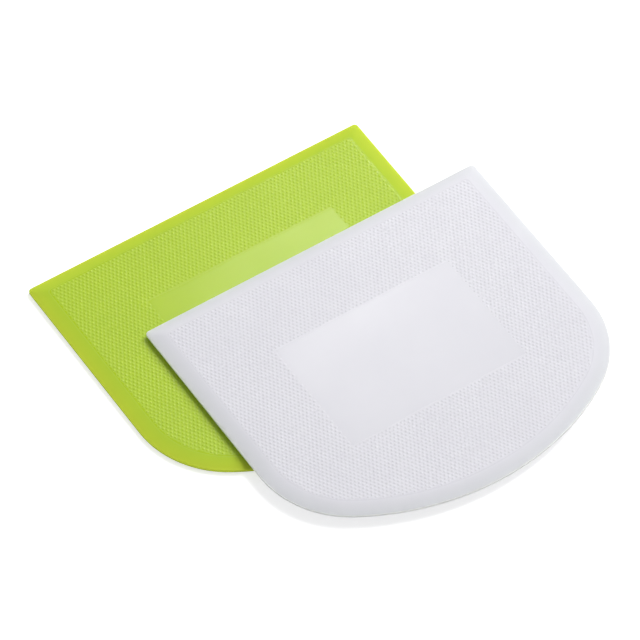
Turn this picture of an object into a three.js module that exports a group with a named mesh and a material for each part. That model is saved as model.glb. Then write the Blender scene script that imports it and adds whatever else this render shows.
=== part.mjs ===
// A stacked pair of dough scrapers. Each is a one-piece plastic moulding: a stiff flat plate with a straight
// edge, a bowed edge opposite it, a smooth border that thins out to the rim, a dotted grip field and a bare
// panel in the middle of each face. The two differ only in colour and in the place and length of the panel.
// Millimetres, +Z up. X runs along the straight edges, +Y points to them, and the origin lies on the table
// under the middle of the pair.

import * as THREE from 'three';

// Outline of one scraper
const edgeLength = 120;
const plateDepth = 104;
const squareCornerRadius = 1.2;
const roundCornerRadius = 32;
const bowRadius = 85;

// Section of the plate: thick over the dots of the grip field, thin at the rim, the same on both faces
const gripThickness = 2.4;
const rimThickness = 0.9;
const dotHeight = 0.12;
const straightBorder = 4.2;
const curvedBorder = 5;
const borderCrown = 0.06;

// Bare panels, as deep below the tops of the dots as the inner end of the border, a little off centre to the
// right
const panelDepth = 41.5;
const greenPanelLength = 66;
const greenPanelOffset = 1.5;
const greenPanelFromEdge = 25;
const whitePanelLength = 62;
const whitePanelOffset = 0.4;
const whitePanelFromEdge = 28;

// How the white scraper lies on the green one: shifted to the right and away from the straight edge
const stackClearance = 0.05;
const shiftAlong = 20.25;
const shiftAcross = 35.1;

// Number of straight steps in each round stretch
const squareCornerSteps = 3;
const roundCornerSteps = 12;
const bowSteps = 24;
const borderSteps = 4;

// Finish
const greenColour = 0xb3d43a;
const whiteColour = 0xe8e8ed;
const plasticRoughness = 0.42;

// Points on a counter-clockwise arc.
function arcPoints(x, y, radius, from, to, steps) {
  return new THREE.ArcCurve(x, y, radius, from, to, false).getPoints(steps);
}

// The outline, moved in from the rim, counter-clockwise from above. The sides, the round corners and the bow
// move in by one amount and the straight edge by another, so the arcs keep their centres and stay tangent.
function outlinePoints(curvedInset, straightInset) {
  const bowY = bowRadius - plateDepth / 2;
  const cornerX = edgeLength / 2 - roundCornerRadius;
  const cornerY = bowY - Math.sqrt((bowRadius - roundCornerRadius) ** 2 - cornerX ** 2);
  const join = Math.atan2(cornerY - bowY, cornerX);
  const squareX = edgeLength / 2 - curvedInset - squareCornerRadius;
  const squareY = plateDepth / 2 - straightInset - squareCornerRadius;
  const cornerRadius = roundCornerRadius - curvedInset;
  const right = 0;
  const up = Math.PI / 2;
  const left = Math.PI;
  const rightCorner = arcPoints(cornerX, cornerY, cornerRadius, join, right, roundCornerSteps);
  const leftCorner = arcPoints(-cornerX, cornerY, cornerRadius, left, left - join, roundCornerSteps);
  const bow = arcPoints(0, bowY, bowRadius - curvedInset, left - join, join, bowSteps);
  return [
    ...arcPoints(squareX, squareY, squareCornerRadius, right, up, squareCornerSteps),
    ...arcPoints(-squareX, squareY, squareCornerRadius, up, left, squareCornerSteps),
    ...leftCorner.slice(0, -1),
    ...bow.slice(0, -1),
    ...rightCorner,
  ];
}

// The outline of the grip field, whose edge slopes up at 45 degrees from the border.
function fieldPoints() {
  return outlinePoints(curvedBorder + dotHeight, straightBorder + dotHeight);
}

// A bare panel's four corners, counter-clockwise from above.
function panelPoints(length, offset, fromEdge) {
  const left = offset - length / 2;
  const right = offset + length / 2;
  const near = plateDepth / 2 - fromEdge;
  const far = near - panelDepth;
  return [
    new THREE.Vector2(right, near),
    new THREE.Vector2(left, near),
    new THREE.Vector2(left, far),
    new THREE.Vector2(right, far),
  ];
}

// Flat points lifted to a height above the plate's middle plane.
function raised(points, height) {
  return points.map((point) => new THREE.Vector3(point.x, point.y, height));
}

// Height of a face above the middle plane, from the rim (share 0) to the inner end of the border (share 1):
// a straight taper with a slight crown, highest halfway.
function borderHeight(share) {
  const taper = THREE.MathUtils.lerp(rimThickness / 2, gripThickness / 2 - dotHeight, share);
  return taper + borderCrown * (1 - (2 * share - 1) ** 2);
}

// Rings of points on one face from the rim to the grip field. The sign is 1 on the upper face, -1 on the lower.
function faceRings(sign) {
  const rings = [];
  for (let step = 0; step <= borderSteps; step += 1) {
    const share = step / borderSteps;
    const points = outlinePoints(share * curvedBorder, share * straightBorder);
    rings.push(raised(points, sign * borderHeight(share)));
  }
  rings.push(raised(fieldPoints(), sign * gripThickness / 2));
  return rings;
}

// Joins each ring to the next with two triangles a step, facing out where the rings go out, then up, then in.
function addStrips(surface, rings) {
  for (let level = 1; level < rings.length; level += 1) {
    const before = rings[level - 1];
    const after = rings[level];
    before.forEach((corner, index) => {
      const next = (index + 1) % before.length;
      surface.push(corner, before[next], after[next]);
      surface.push(corner, after[next], after[index]);
    });
  }
}

// Fills a flat outline, less its holes, facing up above the middle plane and down below it.
function addCap(surface, outline, holes, height) {
  const points = raised([outline, ...holes].flat(), height);
  for (const face of THREE.ShapeUtils.triangulateShape(outline, holes)) {
    const corners = height > 0 ? face : [...face].reverse();
    surface.push(...corners.map((corner) => points[corner]));
  }
}

// One whole scraper, resting on its dots at height 0, with the middle of its box above the origin.
function scraperGeometry(panel) {
  const surface = [];
  const field = fieldPoints();
  const fieldHeight = gripThickness / 2;
  const panelHeight = fieldHeight - dotHeight;
  addStrips(surface, [...faceRings(-1).reverse(), ...faceRings(1)]);
  addStrips(surface, [raised(panel, -panelHeight), raised(panel, -fieldHeight)]);
  addStrips(surface, [raised(panel, fieldHeight), raised(panel, panelHeight)]);
  for (const sign of [-1, 1]) {
    addCap(surface, field, [panel], sign * fieldHeight);
    addCap(surface, panel, [], sign * panelHeight);
  }
  const geometry = new THREE.BufferGeometry().setFromPoints(surface);
  geometry.translate(0, 0, fieldHeight);
  geometry.computeVertexNormals();
  return geometry;
}

// One named scraper in its own colour, with its own panel.
function scraper(name, colour, panel) {
  const plastic = new THREE.MeshStandardMaterial({ color: colour, roughness: plasticRoughness, metalness: 0 });
  const mesh = new THREE.Mesh(scraperGeometry(panel), plastic);
  mesh.name = name;
  return mesh;
}

const greenPanel = panelPoints(greenPanelLength, greenPanelOffset, greenPanelFromEdge);
const greenScraper = scraper('green_scraper', greenColour, greenPanel);
greenScraper.position.set(-shiftAlong / 2, shiftAcross / 2, 0);

const whitePanel = panelPoints(whitePanelLength, whitePanelOffset, whitePanelFromEdge);
const whiteScraper = scraper('white_scraper', whiteColour, whitePanel);
whiteScraper.position.set(shiftAlong / 2, -shiftAcross / 2, gripThickness + stackClearance);

const pair = new THREE.Group();
pair.add(greenScraper, whiteScraper);

export default pair;
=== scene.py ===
"""Two stacked dough scrapers: the moulded surfaces, plastics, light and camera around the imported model."""

import math

import bpy
import numpy as np
from mathutils import Matrix, Vector
from mathutils.geometry import delaunay_2d_cdt


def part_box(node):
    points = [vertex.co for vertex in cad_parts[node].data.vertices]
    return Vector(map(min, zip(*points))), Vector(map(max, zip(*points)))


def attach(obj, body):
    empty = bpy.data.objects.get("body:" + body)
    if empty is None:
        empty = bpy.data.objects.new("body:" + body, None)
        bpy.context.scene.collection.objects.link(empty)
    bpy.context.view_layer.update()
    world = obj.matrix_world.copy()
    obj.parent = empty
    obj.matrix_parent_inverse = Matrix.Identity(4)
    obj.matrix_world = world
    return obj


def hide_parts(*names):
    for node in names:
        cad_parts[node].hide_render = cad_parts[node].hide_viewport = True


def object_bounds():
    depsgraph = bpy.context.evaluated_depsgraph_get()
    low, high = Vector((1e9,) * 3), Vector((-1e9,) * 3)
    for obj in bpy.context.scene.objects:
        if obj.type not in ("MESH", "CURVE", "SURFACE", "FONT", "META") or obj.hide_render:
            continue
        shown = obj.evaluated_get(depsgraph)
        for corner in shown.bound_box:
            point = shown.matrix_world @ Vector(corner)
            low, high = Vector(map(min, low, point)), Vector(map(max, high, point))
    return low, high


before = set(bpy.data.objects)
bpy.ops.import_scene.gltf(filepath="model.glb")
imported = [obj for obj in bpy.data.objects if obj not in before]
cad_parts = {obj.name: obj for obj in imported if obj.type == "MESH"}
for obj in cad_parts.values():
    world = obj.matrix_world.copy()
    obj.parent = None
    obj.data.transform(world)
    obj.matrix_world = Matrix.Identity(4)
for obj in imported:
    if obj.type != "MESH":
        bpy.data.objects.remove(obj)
cad_low, cad_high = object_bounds()

# Units: the meshes are worked out in millimetres and written in metres
MM = 0.001

# Outline of one scraper, in millimetres. The straight edge faces +Y and the bow faces -Y.
plate_low, plate_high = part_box("green_scraper")
EDGE_LENGTH, PLATE_DEPTH, GRIP_THICKNESS = (plate_high - plate_low) / MM
SQUARE_CORNER_RADIUS = 1.2
ROUND_CORNER_RADIUS = 32.0
BOW_RADIUS = 85.0

# Section of the plate, the same on both faces
RIM_THICKNESS = 0.9
RIM_ROUNDING = 0.12
DOT_HEIGHT = 0.12
STRAIGHT_BORDER = 4.2
CURVED_BORDER = 5.0
BORDER_CROWN = 0.06

# Height of the panel and of the face between the dots above the plate's middle plane
BARE_HEIGHT = GRIP_THICKNESS / 2 - DOT_HEIGHT

# Bare panel on each face: its length, its offset to the right and its distance from the straight edge
PANEL_DEPTH = 41.5
GREEN_PANEL = {"length": 66.0, "offset": 1.5, "from_edge": 25.0}
WHITE_PANEL = {"length": 62.0, "offset": 0.4, "from_edge": 28.0}

# Grip dots: low domes in a hexagonal grid with its rows along the straight edge
DOT_PITCH = 1.34
DOT_RADIUS = 0.5
DOT_MARGIN = 0.1

# Sides of a dot, and its rings from the foot up as shares of its radius and of its height. The lower face
# has simpler dots.
UPPER_DOT = {"sides": 6, "rings": ((1.0, 0.0), (0.62, 0.62))}
LOWER_DOT = {"sides": 5, "rings": ((1.0, 0.0),)}

# Distance between points along the outline, and steps in the square corners, the rounded rim and the border
OUTLINE_STEP = 0.9
SQUARE_CORNER_STEPS = 6
ROUNDING_STEPS = 4
BORDER_STEPS = 8

# Slack for rounding errors
TOLERANCE = 1e-6

# Where the round corners and the bow have their centres, and the angle at which they meet
BOW_Y = BOW_RADIUS - PLATE_DEPTH / 2
CORNER_X = EDGE_LENGTH / 2 - ROUND_CORNER_RADIUS
CORNER_Y = BOW_Y - math.sqrt((BOW_RADIUS - ROUND_CORNER_RADIUS) ** 2 - CORNER_X ** 2)
JOIN_ANGLE = math.atan2(CORNER_Y - BOW_Y, CORNER_X)

# The plastics: linear colours of the thick body and of the clouds in it; of the dots, with painted shade on
# the white's and painted light on the green's; of the thin border, partly the plastic's own tone and partly
# painted light and shade; of the edge of the rim, a painted glow; and how much of the light scatters under
# the surface
GREEN_PLASTIC = {
    "body": (0.458, 0.632, 0.019, 1),
    "cloud": (0.443, 0.617, 0.022, 1),
    # Painted light: dots a touch lighter than the body, against the shading of the domes
    "dot": (0.465, 0.635, 0.024, 1),
    # Thin border: partly its own tone, partly painted light, lighter than the body
    "thin": (0.54, 0.66, 0.025, 1),
    # Painted glow on the rim's edge and wall
    "edge": (0.56, 0.70, 0.03, 1),
    "scatter": 0.5,
}
WHITE_PLASTIC = {
    "body": (0.765, 0.758, 0.795, 1),
    "cloud": (0.75, 0.743, 0.782, 1),
    # Painted shade: dots darker than the body
    "dot": (0.74, 0.73, 0.77, 1),
    # Thin border: partly its own tone, partly painted shade with a green tint from the plate under it
    "thin": (0.695, 0.705, 0.722, 1),
    # Painted glow on the rim's edge and wall
    "edge": (0.9, 0.92, 0.88, 1),
    "scatter": 1.0,
}
SCATTER_RADIUS = (1.0, 1.0, 1.0)
SCATTER_SCALE = 2.0 * MM
PLASTIC_IOR = 1.49

# Noises in the plastic, in repeats a metre: clouds in its colour and gloss, slow ripples and a fine grain
CLOUD_NOISE = {"Scale": 45.0, "Detail": 3.0, "Roughness": 0.55}
RIPPLE_NOISE = {"Scale": 120.0, "Detail": 1.0}
GRAIN_NOISE = {"Scale": 2600.0, "Detail": 2.0, "Roughness": 0.6}
RIPPLE_BUMP = {"Strength": 0.05, "Distance": 0.4 * MM}
GRAIN_BUMP = {"Strength": 0.12, "Distance": 0.06 * MM}

# Stretches of the cloud noise, of the grip share for the painted dot shading, and of the rim share for the
# painted rim glow and the matte border, over which the look changes
CLOUD_STRETCH = (0.25, 0.75)
DOT_PAINTED_SHADING_STRETCH = (0.5, 0.8)
RIM_GLOW_PAINT_STRETCH = (0.96, 0.99)
BORDER_STRETCH = (0.0, 0.12)

# Roughness of the panel, from clear to cloudy, and what the grip field and the border add to it
PANEL_ROUGHNESS = (0.22, 0.27)
GRIP_ROUGHNESS = 0.2
BORDER_ROUGHNESS = 0.52

# Places of the colour sockets on a Mix node
MIX_FIRST = 6
MIX_SECOND = 7
MIX_RESULT = 2

# Camera: where the photograph was taken from, in metres, with the sensor in millimetres
IMAGE_PIXELS = 640
FOCAL_PIXELS = 5656
SENSOR_WIDTH = 36
CLIP_END = 20
CAMERA_AZIMUTH = math.radians(-33.28)
CAMERA_ELEVATION = math.radians(52.56)
CAMERA_DISTANCE = 1.7137
CAMERA_RIGHT = -0.00762
CAMERA_UP = 0.00751

# Lights: directions in degrees, distances and sizes in metres, power in watts
KEY_LIGHT = {
    "azimuth": 100,
    "elevation": 48,
    "distance": 1.6,
    "width": 0.5,
    "height": 1.2,
    "power": 21.6,
}
BACK_LIGHT = {
    "azimuth": 146.5,
    "elevation": 48.3,
    "distance": 0.53,
    "width": 0.12,
    "height": 0.12,
    "power": 0.25,
}

# The world's light, from the horizon to straight above
WORLD_COLOUR = (0.97, 0.98, 1.0, 1)
HORIZON_STRENGTH = 0.75
OVERHEAD_STRENGTH = 0.18

# White table top, a hair below the scrapers
FLOOR_HALF = 6.0
FLOOR_GAP = 0.02 * MM
FLOOR_COLOUR = (0.85, 0.85, 0.85, 1)
GLOW_COLOUR = (1, 1, 1, 1)
GLOW_STRENGTH = 0.6


def steps_along(length):
    """Number of steps in a stretch of outline that long."""
    return max(1, round(length / OUTLINE_STEP))


def arc(x, y, radius, start, end, steps):
    """Points on an arc from start up to, but without, end."""
    angles = start + (end - start) * np.arange(steps) / steps
    return np.column_stack([x + radius * np.cos(angles), y + radius * np.sin(angles)])


def line(start, end, length):
    """Points from start up to, but without, end, as many as that length at the rim takes."""
    shares = np.arange(steps_along(length)) / steps_along(length)
    return np.outer(1 - shares, start) + np.outer(shares, end)


def outline(curved_inset, straight_inset):
    """The outline moved in from the rim, counter-clockwise from above, with as many points at any inset."""
    side = EDGE_LENGTH / 2 - curved_inset
    straight = PLATE_DEPTH / 2 - straight_inset
    square_x = side - SQUARE_CORNER_RADIUS
    square_y = straight - SQUARE_CORNER_RADIUS
    corner_radius = ROUND_CORNER_RADIUS - curved_inset
    corner_steps = steps_along(ROUND_CORNER_RADIUS * -JOIN_ANGLE)
    bow_steps = steps_along(BOW_RADIUS * (math.pi + 2 * JOIN_ANGLE))
    side_length = PLATE_DEPTH / 2 - CORNER_Y
    half = math.pi
    quarter = math.pi / 2
    return np.concatenate([
        arc(square_x, square_y, SQUARE_CORNER_RADIUS, 0, quarter, SQUARE_CORNER_STEPS),
        line((square_x, straight), (-square_x, straight), EDGE_LENGTH),
        arc(-square_x, square_y, SQUARE_CORNER_RADIUS, quarter, half, SQUARE_CORNER_STEPS),
        line((-side, square_y), (-side, CORNER_Y), side_length),
        arc(-CORNER_X, CORNER_Y, corner_radius, half, half - JOIN_ANGLE, corner_steps),
        arc(0, BOW_Y, BOW_RADIUS - curved_inset, half - JOIN_ANGLE, 2 * half + JOIN_ANGLE, bow_steps),
        arc(CORNER_X, CORNER_Y, corner_radius, JOIN_ANGLE, 0, corner_steps),
        line((side, CORNER_Y), (side, square_y), side_length),
    ])


def distance_inside(points):
    """How far each point lies inside the sides, round corners and bow, and inside the straight edge."""
    x = np.abs(points[:, 0])
    y = points[:, 1]
    to_side = EDGE_LENGTH / 2 - x
    to_corner = ROUND_CORNER_RADIUS - np.hypot(x - CORNER_X, y - CORNER_Y)
    to_bow = BOW_RADIUS - np.hypot(x, y - BOW_Y)
    faces_bow = np.arctan2(y - BOW_Y, x) < JOIN_ANGLE
    curved = np.where(y >= CORNER_Y, to_side, np.where(faces_bow, to_bow, to_corner))
    return curved, PLATE_DEPTH / 2 - y


def in_field(points, margin, panel):
    """Which points lie in the grip field, at least a margin away from the border and the panel."""
    curved, straight = distance_inside(points)
    near = PLATE_DEPTH / 2 - panel["from_edge"]
    beside = np.abs(points[:, 0] - panel["offset"]) > panel["length"] / 2 + margin
    above = points[:, 1] > near + margin
    below = points[:, 1] < near - PANEL_DEPTH - margin
    inside = (curved > CURVED_BORDER + margin) & (straight > STRAIGHT_BORDER + margin)
    return inside & (beside | above | below)


def dot_centres(panel):
    """Centres of the dots that fit whole into the grip field, in rows counted from the straight border."""
    margin = DOT_RADIUS + DOT_MARGIN
    first_row = PLATE_DEPTH / 2 - STRAIGHT_BORDER - margin
    row_height = DOT_PITCH * math.sqrt(3) / 2
    reach = round(EDGE_LENGTH / DOT_PITCH)
    rows, columns = np.meshgrid(np.arange(PLATE_DEPTH // row_height), np.arange(-reach, reach))
    x = DOT_PITCH * (columns + rows % 2 / 2)
    y = first_row - row_height * rows
    points = np.column_stack([x.ravel(), y.ravel()])
    return points[in_field(points, margin - TOLERANCE, panel)]


def dot_points(dot, panel):
    """Points of all dots, their heights as shares of the dot height, and the number of the dot at whose
    foot each lies, or -1 higher up."""
    sides, rings = dot["sides"], dot["rings"]
    angles = (np.arange(sides) + 0.5) * 2 * math.pi / sides
    circle = DOT_RADIUS * np.column_stack([np.cos(angles), np.sin(angles)])
    one_dot = np.concatenate([share * circle for share, _ in rings] + [np.zeros((1, 2))])
    shares = np.repeat([height for _, height in rings] + [1.0], [sides] * len(rings) + [1])
    centres = dot_centres(panel)
    points = (centres[:, None] + one_dot).reshape(-1, 2)
    foot = np.where(shares == 0, np.arange(len(centres))[:, None], -1).ravel()
    return points, np.tile(shares, len(centres)), foot


def panel_outline(panel):
    """The panel's outline, counter-clockwise from above."""
    length = panel["length"]
    left = panel["offset"] - length / 2
    right = panel["offset"] + length / 2
    near = PLATE_DEPTH / 2 - panel["from_edge"]
    far = near - PANEL_DEPTH
    return np.concatenate([
        line((right, near), (left, near), length),
        line((left, near), (left, far), PANEL_DEPTH),
        line((left, far), (right, far), length),
        line((right, far), (right, near), PANEL_DEPTH),
    ])


def border_height(share):
    """Height of the border above the middle plane, from the rim (share 0) to its inner end (share 1)."""
    taper = RIM_THICKNESS / 2 + (BARE_HEIGHT - RIM_THICKNESS / 2) * share
    return taper + BORDER_CROWN * (1 - (2 * share - 1) ** 2)


def border_section():
    """Share of the border's width and height of each ring, from the side of the rim to the grip field."""
    rounded = RIM_ROUNDING / CURVED_BORDER
    top = border_height(rounded)
    section = []
    for step in range(ROUNDING_STEPS):
        angle = math.pi / 2 * step / ROUNDING_STEPS
        section.append((rounded * (1 - math.cos(angle)), top - RIM_ROUNDING * (1 - math.sin(angle))))
    for step in range(BORDER_STEPS + 1):
        share = rounded + (1 - rounded) * step / BORDER_STEPS
        section.append((share, border_height(share)))
    return section


def loop_edges(first, count):
    """Edges of a closed loop of points, numbered from the first one on."""
    return [(first + index, first + (index + 1) % count) for index in range(count)]


def fill_flat(ring, bare, dots, dot_foot, sides):
    """Triangles that fill the ring at the border's inner end, with edges along the panel's outline and round
    the feet of the dots."""
    first_dot = len(ring) + len(bare)
    edges = loop_edges(0, len(ring)) + loop_edges(len(ring), len(bare))
    for start in np.flatnonzero(dot_foot >= 0)[::sides].tolist():
        edges += loop_edges(first_dot + start, sides)
    points = [Vector(point) for point in np.concatenate([ring, bare, dots])]
    inside_edges = 1
    _, _, triangles, sources, _, _ = delaunay_2d_cdt(points, edges, [], inside_edges, TOLERANCE)
    return [[sources[corner][0] for corner in triangle] for triangle in triangles]


def upper_half(dot, panel):
    """Vertices and faces of the half of a plate above its middle plane, then the grip share, rim share and
    dot foot of each vertex, then the number of points round the rim, which come first. The grip share is 0
    on smooth faces, half at the foot of the dots and 1 on top of them. The rim share goes from 1 at the rim
    to 0 at the inner end of the border."""
    section = border_section()
    rings = [outline(share * CURVED_BORDER, share * STRAIGHT_BORDER) for share, _ in section]
    count = len(rings[0])
    bare = panel_outline(panel)
    dots, dot_shares, dot_foot = dot_points(dot, panel)
    first = count * (len(rings) - 1)
    triangles = fill_flat(rings[-1], bare, dots, dot_foot, dot["sides"])
    faces = [[first + corner for corner in triangle] for triangle in triangles]
    for level in range(len(rings) - 1):
        for low, high in zip(loop_edges(level * count, count), loop_edges((level + 1) * count, count)):
            faces.append([low[0], low[1], high[1], high[0]])
    heights = [np.full(count, height) for _, height in section]
    heights += [np.full(len(bare), BARE_HEIGHT), BARE_HEIGHT + DOT_HEIGHT * dot_shares]
    vertices = np.column_stack([np.concatenate(rings + [bare, dots]), np.concatenate(heights)])
    plain = len(vertices) - len(dots)
    grip = np.concatenate([np.zeros(plain), (1 + dot_shares) / 2])
    foot = np.concatenate([np.full(plain, -1), dot_foot])
    rim = np.zeros(len(vertices))
    rim[:first + count] = np.repeat([1 - share for share, _ in section], count)
    return vertices, faces, grip, rim, foot, count


def scraper_mesh(name, panel):
    """One closed scraper around the origin: an upper half, one upside down, and the rim between them."""
    upper, faces, upper_grip, upper_rim, upper_foot, count = upper_half(UPPER_DOT, panel)
    lower, lower_faces, lower_grip, lower_rim, lower_foot, _ = upper_half(LOWER_DOT, panel)
    lower = lower * np.array([1, 1, -1])
    total = len(upper)
    below = [[total + corner for corner in reversed(face)] for face in lower_faces]
    wall = [[total + a, total + b, b, a] for a, b in loop_edges(0, count)]
    mesh = bpy.data.meshes.new(name)
    mesh.from_pydata((np.concatenate([upper, lower]) * MM).tolist(), [], faces + below + wall)
    for title, values in (("grip", (upper_grip, lower_grip)), ("rim", (upper_rim, lower_rim))):
        attribute = mesh.attributes.new(title, "FLOAT", "POINT")
        attribute.data.foreach_set("value", np.concatenate(values).astype(np.float32))
    mesh.shade_smooth()
    sharpen_feet(mesh, np.concatenate([upper_foot, lower_foot]))
    return mesh


def sharpen_feet(mesh, foot):
    """Keeps a sharp line round the foot of each dot, so that the face between the dots is shaded flat."""
    ends = np.empty(2 * len(mesh.edges), dtype=np.int32)
    mesh.edges.foreach_get("vertices", ends)
    first, second = foot[ends[0::2]], foot[ends[1::2]]
    mesh.edges.foreach_set("use_edge_sharp", (first >= 0) & (first == second))


def add_scraper(node, mesh, material):
    """A moulded scraper in the place of its node, moving with the body of the same name."""
    low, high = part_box(node)
    piece = bpy.data.objects.new(node + "_moulding", mesh)
    bpy.context.scene.collection.objects.link(piece)
    mesh.transform(Matrix.Translation((low + high) / 2))
    mesh.materials.append(material)
    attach(piece, node)
    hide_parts(node)


def new_material(name):
    """An empty node material and a short way to add a node to it."""
    material = bpy.data.materials.new(name)
    material.use_nodes = True
    tree = material.node_tree
    tree.nodes.clear()

    def add(kind, **inputs):
        node = tree.nodes.new(kind)
        for title, value in inputs.items():
            fill_socket(node.inputs[title.replace("_", " ")], value)
        return node

    return material, add


def fill_socket(socket, value):
    """Links a socket to another one, or sets it to a plain value."""
    if isinstance(value, bpy.types.NodeSocket):
        socket.id_data.links.new(value, socket)
    else:
        socket.default_value = value


def attribute_value(add, title):
    """The value that a mesh attribute has where the surface is shaded."""
    node = add("ShaderNodeAttribute")
    node.attribute_name = title
    return node.outputs["Fac"]


def blended(add, share, first, second):
    """A colour between two, by a share from 0 to 1."""
    mix = add("ShaderNodeMix")
    mix.data_type = "RGBA"
    fill_socket(mix.inputs["Factor"], share)
    fill_socket(mix.inputs[MIX_FIRST], first)
    fill_socket(mix.inputs[MIX_SECOND], second)
    return mix.outputs[MIX_RESULT]


def combined(add, operation, first, second):
    """Two values put together by one operation of a Math node."""
    node = add("ShaderNodeMath")
    node.operation = operation
    fill_socket(node.inputs[0], first)
    fill_socket(node.inputs[1], second)
    return node.outputs["Value"]


def ranged(add, value, low, high, start=0.0, end=1.0):
    """A value from start to end mapped to low to high, with a soft start and end."""
    node = add("ShaderNodeMapRange", Value=value, From_Min=start, From_Max=end, To_Min=low, To_Max=high)
    node.interpolation_type = "SMOOTHSTEP"
    return node.outputs["Result"]


def moulded_plastic(name, body, cloud, dot, thin, edge, scatter):
    """Translucent moulded plastic with a fine grain: faintly cloudy, with painted shading on the dots, a
    thin border whose tone is partly its own and partly painted light and shade, and a painted glow along the
    rim. The panel is satin, the grip field duller and the border matte."""
    material, add = new_material(name)
    place = add("ShaderNodeTexCoord").outputs["Object"]
    clouds = add("ShaderNodeTexNoise", Vector=place, **CLOUD_NOISE).outputs["Fac"]
    waves = add("ShaderNodeTexNoise", Vector=place, **RIPPLE_NOISE).outputs["Fac"]
    grain = add("ShaderNodeTexNoise", Vector=place, **GRAIN_NOISE).outputs["Fac"]
    grip = attribute_value(add, "grip")
    rim = attribute_value(add, "rim")
    thick_colour = blended(add, ranged(add, clouds, 0.0, 1.0, *CLOUD_STRETCH), body, cloud)
    # Painted shading on the dots: a darker tone on the white's dots, a lighter one on the green's
    grip_colour_with_painted_dot_shading = blended(add, ranged(add, grip, 0.0, 1.0, *DOT_PAINTED_SHADING_STRETCH), thick_colour, dot)
    # Thin border's tone: partly the plastic's own, partly painted light and shade, darker and greener on the
    # white, lighter on the green
    border_colour_with_painted_light_and_shade = blended(add, rim, grip_colour_with_painted_dot_shading, thin)
    # Painted glow along the rim: a lighter tone on the outer edge and the wall of the rim
    colour = blended(add, ranged(add, rim, 0.0, 1.0, *RIM_GLOW_PAINT_STRETCH), border_colour_with_painted_light_and_shade, edge)
    satin = ranged(add, clouds, *PANEL_ROUGHNESS, *CLOUD_STRETCH)
    duller = combined(add, "ADD", satin, ranged(add, grip, 0.0, GRIP_ROUGHNESS))
    roughness = combined(add, "ADD", duller, ranged(add, rim, 0.0, BORDER_ROUGHNESS, *BORDER_STRETCH))
    ripple = add("ShaderNodeBump", Height=waves, **RIPPLE_BUMP)
    texture = add("ShaderNodeBump", Height=grain, Normal=ripple.outputs["Normal"], **GRAIN_BUMP)
    shader = add("ShaderNodeBsdfPrincipled", Base_Color=colour, Roughness=roughness, IOR=PLASTIC_IOR,
                 Normal=texture.outputs["Normal"], Subsurface_Weight=scatter,
                 Subsurface_Radius=SCATTER_RADIUS, Subsurface_Scale=SCATTER_SCALE)
    add("ShaderNodeOutputMaterial", Surface=shader.outputs["BSDF"])
    return material


def direction(azimuth, elevation):
    """Unit vector towards an azimuth, 0 at -Y and turning towards +X, and an elevation."""
    flat = math.cos(elevation)
    return Vector((math.sin(azimuth) * flat, -math.cos(azimuth) * flat, math.sin(elevation)))


def add_camera():
    """The photograph's camera, shifted a little off the line on which it would face the origin."""
    data = bpy.data.cameras.new("camera")
    data.sensor_width = SENSOR_WIDTH
    data.lens = SENSOR_WIDTH * FOCAL_PIXELS / IMAGE_PIXELS
    data.clip_end = CLIP_END
    camera = bpy.data.objects.new("camera", data)
    back = direction(CAMERA_AZIMUTH, CAMERA_ELEVATION)
    right = Vector((math.cos(CAMERA_AZIMUTH), math.sin(CAMERA_AZIMUTH), 0))
    camera.location = back * CAMERA_DISTANCE + right * CAMERA_RIGHT + back.cross(right) * CAMERA_UP
    camera.rotation_euler = back.to_track_quat("Z", "Y").to_euler()
    bpy.context.scene.collection.objects.link(camera)
    bpy.context.scene.camera = camera


def add_light(name, azimuth, elevation, distance, width, height, power):
    """A soft light that faces the scrapers."""
    data = bpy.data.lights.new(name, "AREA")
    data.shape = "RECTANGLE"
    data.size = width
    data.size_y = height
    data.energy = power
    light = bpy.data.objects.new(name, data)
    towards = direction(math.radians(azimuth), math.radians(elevation))
    light.location = towards * distance
    light.rotation_euler = towards.to_track_quat("Z", "Y").to_euler()
    bpy.context.scene.collection.objects.link(light)


def seen_directly(add):
    """1 for what the camera sees straight, in a reflection or through glass, and 0 for other light."""
    path = add("ShaderNodeLightPath")
    total = path.outputs["Is Camera Ray"]
    for title in ("Is Glossy Ray", "Is Transmission Ray"):
        total = combined(add, "MAXIMUM", total, path.outputs[title])
    return total


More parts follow.
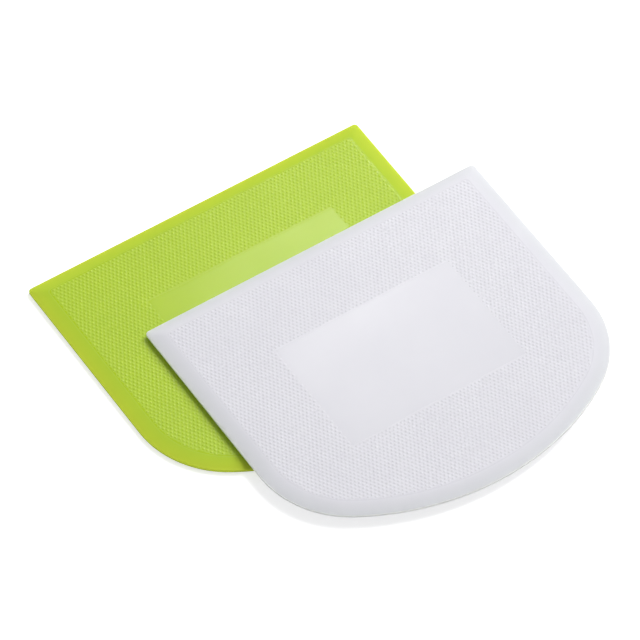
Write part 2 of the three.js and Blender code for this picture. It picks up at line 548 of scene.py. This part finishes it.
def add_floor():
    """A white table top that keeps the shadows."""
    mesh = bpy.data.meshes.new("floor")
    corners = [(x * FLOOR_HALF, y * FLOOR_HALF, 0) for x, y in ((-1, -1), (1, -1), (1, 1), (-1, 1))]
    mesh.from_pydata(corners, [], [(0, 1, 2, 3)])
    floor = bpy.data.objects.new("floor", mesh)
    floor.location.z = cad_low.z - FLOOR_GAP
    bpy.context.scene.collection.objects.link(floor)
    material, add = new_material("white_table")
    paper = add("ShaderNodeBsdfDiffuse", Color=FLOOR_COLOUR)
    strength = ranged(add, seen_directly(add), 0.0, GLOW_STRENGTH)
    glow = add("ShaderNodeEmission", Color=GLOW_COLOUR, Strength=strength)
    both = add("ShaderNodeAddShader")
    fill_socket(both.inputs[0], paper.outputs["BSDF"])
    fill_socket(both.inputs[1], glow.outputs["Emission"])
    add("ShaderNodeOutputMaterial", Surface=both.outputs["Shader"])
    mesh.materials.append(material)


def add_world():
    """Soft light from all round, brightest along the horizon."""
    world = bpy.data.worlds.new("studio")
    world.use_nodes = True
    tree = world.node_tree
    background = tree.nodes["Background"]
    place = tree.nodes.new("ShaderNodeTexCoord")
    height = tree.nodes.new("ShaderNodeSeparateXYZ")
    strength = tree.nodes.new("ShaderNodeMapRange")
    fill_socket(height.inputs["Vector"], place.outputs["Generated"])
    fill_socket(strength.inputs["Value"], height.outputs["Z"])
    fill_socket(strength.inputs["To Min"], HORIZON_STRENGTH)
    fill_socket(strength.inputs["To Max"], OVERHEAD_STRENGTH)
    fill_socket(background.inputs["Color"], WORLD_COLOUR)
    fill_socket(background.inputs["Strength"], strength.outputs["Result"])
    bpy.context.scene.world = world


green_plastic = moulded_plastic("lime_green_plastic", **GREEN_PLASTIC)
white_plastic = moulded_plastic("milk_white_plastic", **WHITE_PLASTIC)
add_scraper("green_scraper", scraper_mesh("green_moulding", GREEN_PANEL), green_plastic)
add_scraper("white_scraper", scraper_mesh("white_moulding", WHITE_PANEL), white_plastic)
add_camera()
add_light("key", **KEY_LIGHT)
add_light("back", **BACK_LIGHT)
add_floor()
add_world()
bpy.context.scene.view_settings.view_transform = "Standard"
